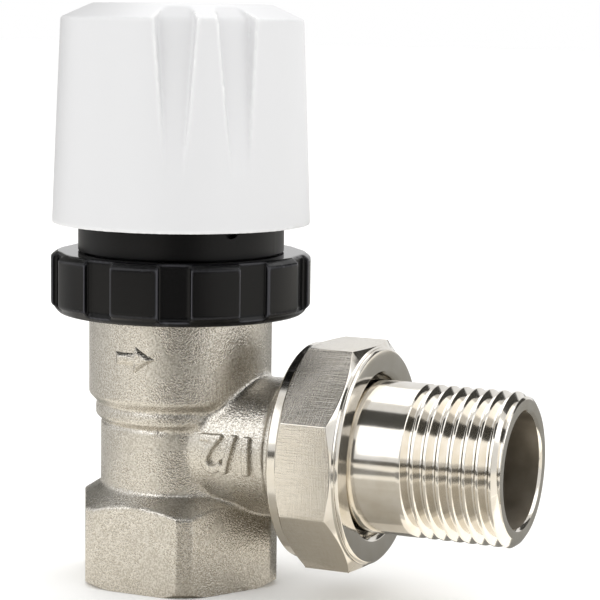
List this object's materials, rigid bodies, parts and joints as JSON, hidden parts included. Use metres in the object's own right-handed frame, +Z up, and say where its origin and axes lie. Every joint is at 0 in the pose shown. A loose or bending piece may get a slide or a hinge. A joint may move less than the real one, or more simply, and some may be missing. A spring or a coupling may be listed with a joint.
{
  "type": "angled thermostatic radiator valve",
  "caption": "Angled radiator valve with a threaded inlet below, a union tail to the side and a hand setting cap on a screwed ring above.",
  "frame": {"origin": "centre of the inlet's mouth, on the hexagon's end face", "axes": "+Z up the stem and cap axis, +X along the outlet axis, out of the tail"},
  "size_m": [0.0698, 0.0366, 0.0813],
  "materials": {
    "forged_nickel": "shot-blasted nickel plate on brass",
    "turned_nickel": "polished nickel plate on brass",
    "brass": "turned",
    "stainless": "ground",
    "spring_steel": "drawn wire",
    "rubber": "moulded",
    "black_plastic": "satin moulded",
    "white_plastic": "satin moulded"
  },
  "bodies": {
    "valve": {"valve_body": "forged_nickel", "bonnet": "brass", "bonnet_o_ring": "rubber", "gland_nut": "brass", "stem_o_ring_lower": "rubber", "stem_o_ring_upper": "rubber", "return_spring": "spring_steel"},
    "stem": {"stem": "stainless", "spring_washer": "stainless", "stem_clip": "spring_steel", "plug": "brass", "plug_seal": "rubber", "plug_nut": "brass"},
    "head": {"head_base": "black_plastic"},
    "ring": {"mounting_ring": "black_plastic"},
    "pusher": {"pusher": "stainless"},
    "cap": {"cap": "white_plastic"},
    "union": {"tail_o_ring": "rubber"},
    "tail": {"tailpiece": "turned_nickel"},
    "nut": {"union_nut": "turned_nickel"}
  },
  "joints": [
    {"name": "stem_lift", "type": "slide", "parent": "valve", "child": "stem", "axis": [0, 0, -1], "range_m": [0, 0.003], "deforming": ["return_spring"]},
    {"name": "head_lift", "type": "slide", "parent": "valve", "child": "head", "axis": [0, 0, 1], "range_m": [0, 0.00525]},
    {"name": "ring_turn", "type": "hinge", "parent": "head", "child": "ring", "pos_m": [0, 0, 0.042], "axis": [0, 0, 1], "range_deg": [0, 1260]},
    {"name": "cap_lift", "type": "slide", "parent": "head", "child": "pusher", "axis": [0, 0, -1], "range_m": [0, 0.003]},
    {"name": "cap_turn", "type": "hinge", "parent": "pusher", "child": "cap", "pos_m": [0, 0, 0.066], "axis": [0, 0, -1], "range_deg": [0, 360]},
    {"name": "union_draw", "type": "slide", "parent": "valve", "child": "union", "axis": [1, 0, 0], "range_m": [0, 0.00617]},
    {"name": "nut_turn", "type": "hinge", "parent": "union", "child": "nut", "pos_m": [0.0256, 0, 0.02006], "axis": [1, 0, 0], "range_deg": [0, 1224]},
    {"name": "tail_swivel", "type": "hinge", "parent": "union", "child": "tail", "pos_m": [0.038, 0, 0.02006], "axis": [1, 0, 0], "range_deg": [-180, 180]}
  ],
  "couplings": [
    {"joint": "cap_lift", "follows": "cap_turn", "m_per_rad": 0.00047746},
    {"joint": "stem_lift", "follows": "cap_turn", "m_per_rad": 0.00047746},
    {"joint": "head_lift", "follows": "ring_turn", "m_per_rad": 0.00023873},
    {"joint": "union_draw", "follows": "nut_turn", "m_per_rad": 0.00028871}
  ]
}
